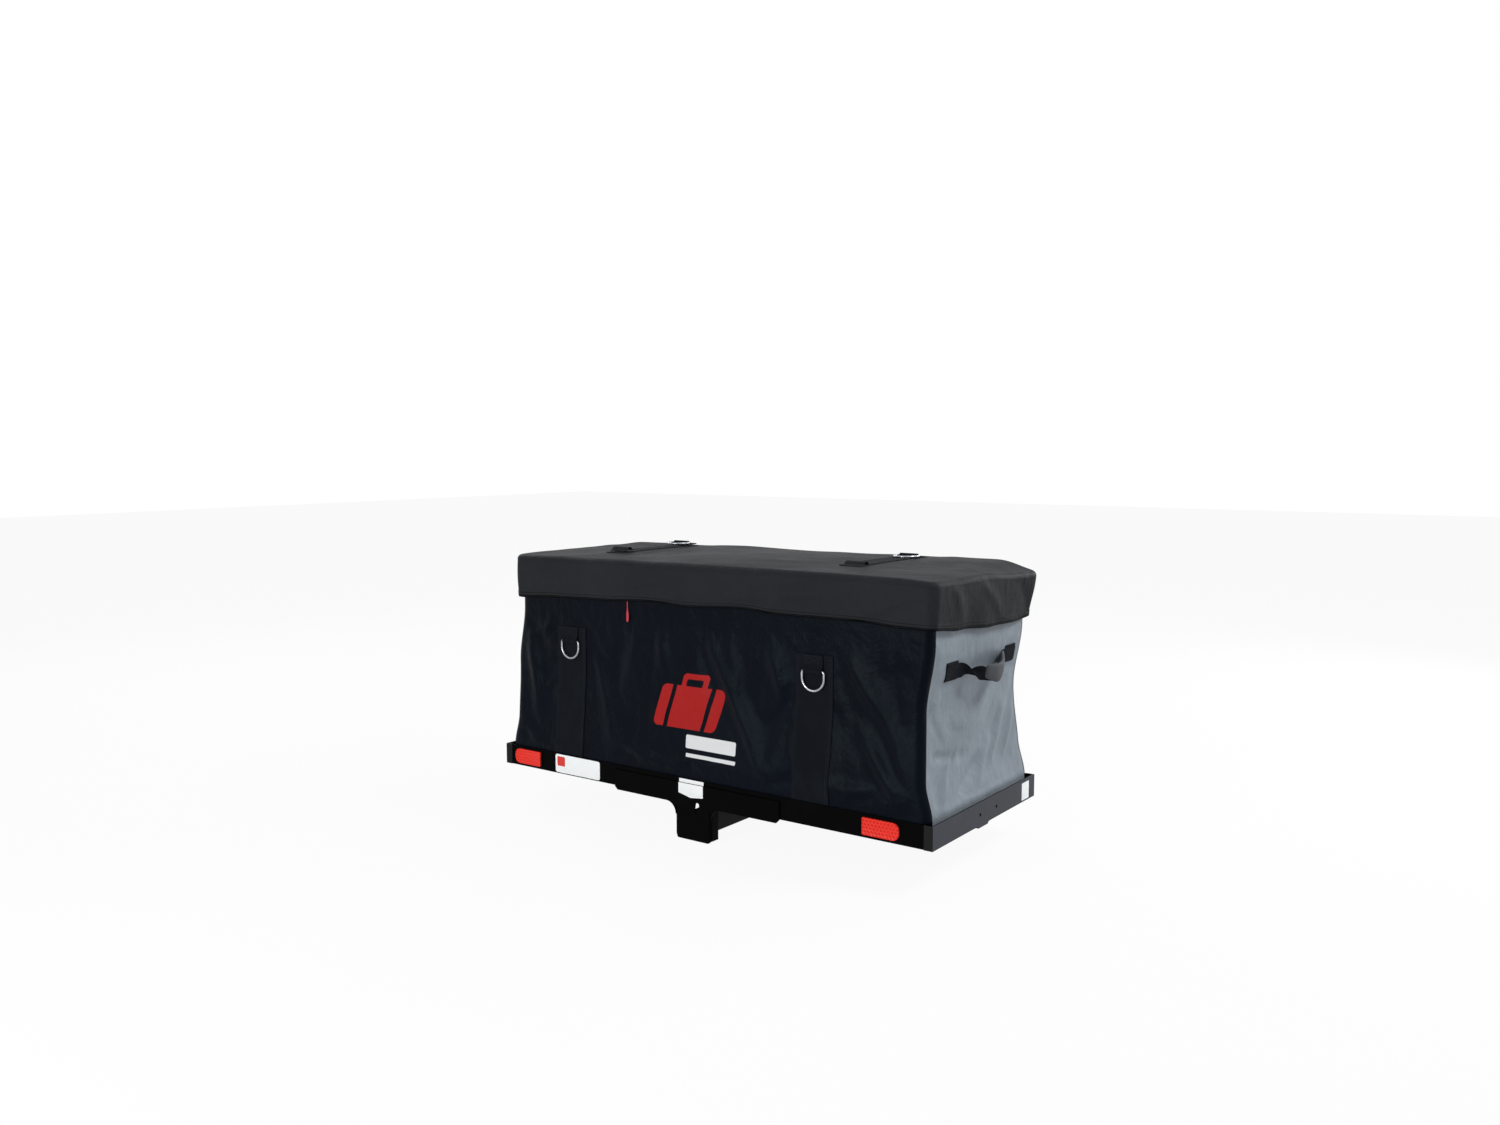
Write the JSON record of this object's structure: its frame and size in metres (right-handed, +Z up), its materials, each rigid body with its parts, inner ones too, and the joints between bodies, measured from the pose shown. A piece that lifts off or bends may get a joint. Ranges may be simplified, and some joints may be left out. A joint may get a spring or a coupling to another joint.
{
  "type": "hitch cargo bag",
  "caption": "Soft zip-top cargo bag seated in a shallow steel tray with a square hitch tube, lashing rings, end handles and red reflectors.",
  "frame": {"origin": "underside of the hitch tube, straight below the hitch pin hole, on the centre line", "axes": "+X along the tray to the right as seen from behind the vehicle, +Y towards the vehicle along the shank, +Z up"},
  "size_m": [1.2619, 0.791, 0.6534],
  "materials": {
    "steel_black": "satin powder coat",
    "steel_slate": "satin powder coat, seen in skylight",
    "zinc": "bright zinc plate",
    "reflector": "prismatic retroreflector",
    "cloth_navy": "coated waterproof cloth, soft sheen",
    "cloth_grey": "coated waterproof cloth, matt",
    "cloth_charcoal": "coated waterproof cloth, soft sheen",
    "webbing": "woven polyester webbing",
    "grip": "padded cloth sleeve",
    "pull_cord": "braided cord"
  },
  "bodies": {
    "carrier": {"tray_pan": "steel_black", "cross_channel": "steel_black", "hitch_bracket": "steel_black", "tube_riser": "steel_black", "end_rail_left": "steel_slate", "end_rail_right": "steel_slate", "hitch_tube": "steel_slate", "riser_bolt_front": "zinc", "riser_bolt_rear": "zinc", "riser_nut_front": "zinc", "riser_nut_rear": "zinc", "reflector_left": "reflector", "reflector_right": "reflector", "base_panel": "cloth_navy", "front_panel": "cloth_navy", "rear_panel": "cloth_navy", "end_panel_left": "cloth_grey", "end_panel_right": "cloth_grey", "lid_gusset_front": "cloth_charcoal", "lid_gusset_left": "cloth_charcoal", "lid_gusset_right": "cloth_charcoal", "lid_top": "cloth_charcoal", "lid_skirt": "cloth_charcoal", "zip_tape": "webbing", "zip_chain": "webbing", "front_strip_left": "webbing", "front_strip_right": "webbing", "rear_strip_left": "webbing", "rear_strip_right": "webbing", "lid_strip_left": "webbing", "lid_strip_right": "webbing", "ring_tab_front_left": "webbing", "ring_tab_front_right": "webbing", "ring_tab_rear_left": "webbing", "ring_tab_rear_right": "webbing", "ring_tab_lid_left": "webbing", "ring_tab_lid_right": "webbing", "lid_loop_left": "webbing", "lid_loop_right": "webbing", "handle_patch_left_front": "webbing", "handle_patch_left_rear": "webbing", "handle_patch_right_front": "webbing", "handle_patch_right_rear": "webbing", "handle_strap_left": "webbing", "handle_strap_right": "webbing", "handle_grip_left": "grip", "handle_grip_right": "grip"},
    "zip_slider": {"zip_slider": "zinc"},
    "zip_pull": {"zip_pull": "pull_cord"},
    "d_ring_front_left": {"d_ring_front_left": "zinc"},
    "d_ring_front_right": {"d_ring_front_right": "zinc"},
    "d_ring_rear_left": {"d_ring_rear_left": "zinc"},
    "d_ring_rear_right": {"d_ring_rear_right": "zinc"},
    "d_ring_lid_left": {"d_ring_lid_left": "zinc"},
    "d_ring_lid_right": {"d_ring_lid_right": "zinc"}
  },
  "joints": [
    {"name": "ring_swing_front_left", "type": "hinge", "parent": "carrier", "child": "d_ring_front_left", "pos_m": [-0.395, -0.70845, 0.4138], "axis": [-1, 0, 0], "range_deg": [0, 160]},
    {"name": "ring_swing_front_right", "type": "hinge", "parent": "carrier", "child": "d_ring_front_right", "pos_m": [0.314, -0.70845, 0.4138], "axis": [-1, 0, 0], "range_deg": [0, 160]},
    {"name": "ring_swing_rear_left", "type": "hinge", "parent": "carrier", "child": "d_ring_rear_left", "pos_m": [-0.395, -0.23155, 0.4138], "axis": [1, 0, 0], "range_deg": [0, 160]},
    {"name": "ring_swing_rear_right", "type": "hinge", "parent": "carrier", "child": "d_ring_rear_right", "pos_m": [0.314, -0.23155, 0.4138], "axis": [1, 0, 0], "range_deg": [0, 160]},
    {"name": "ring_swing_lid_left", "type": "hinge", "parent": "carrier", "child": "d_ring_lid_left", "pos_m": [-0.352, -0.32, 0.63445], "axis": [-1, 0, 0], "range_deg": [0, 155]},
    {"name": "ring_swing_lid_right", "type": "hinge", "parent": "carrier", "child": "d_ring_lid_right", "pos_m": [0.332, -0.32, 0.63464], "axis": [-1, 0, 0], "range_deg": [0, 155]},
    {"name": "zip_slide", "type": "slide", "parent": "carrier", "child": "zip_slider", "axis": [1, 0, 0], "range_m": [-0.29, 0.7]},
    {"name": "pull_swing", "type": "hinge", "parent": "zip_slider", "child": "zip_pull", "pos_m": [-0.21, -0.7015, 0.5518], "axis": [0, 1, 0], "range_deg": [-40, 40]}
  ]
}
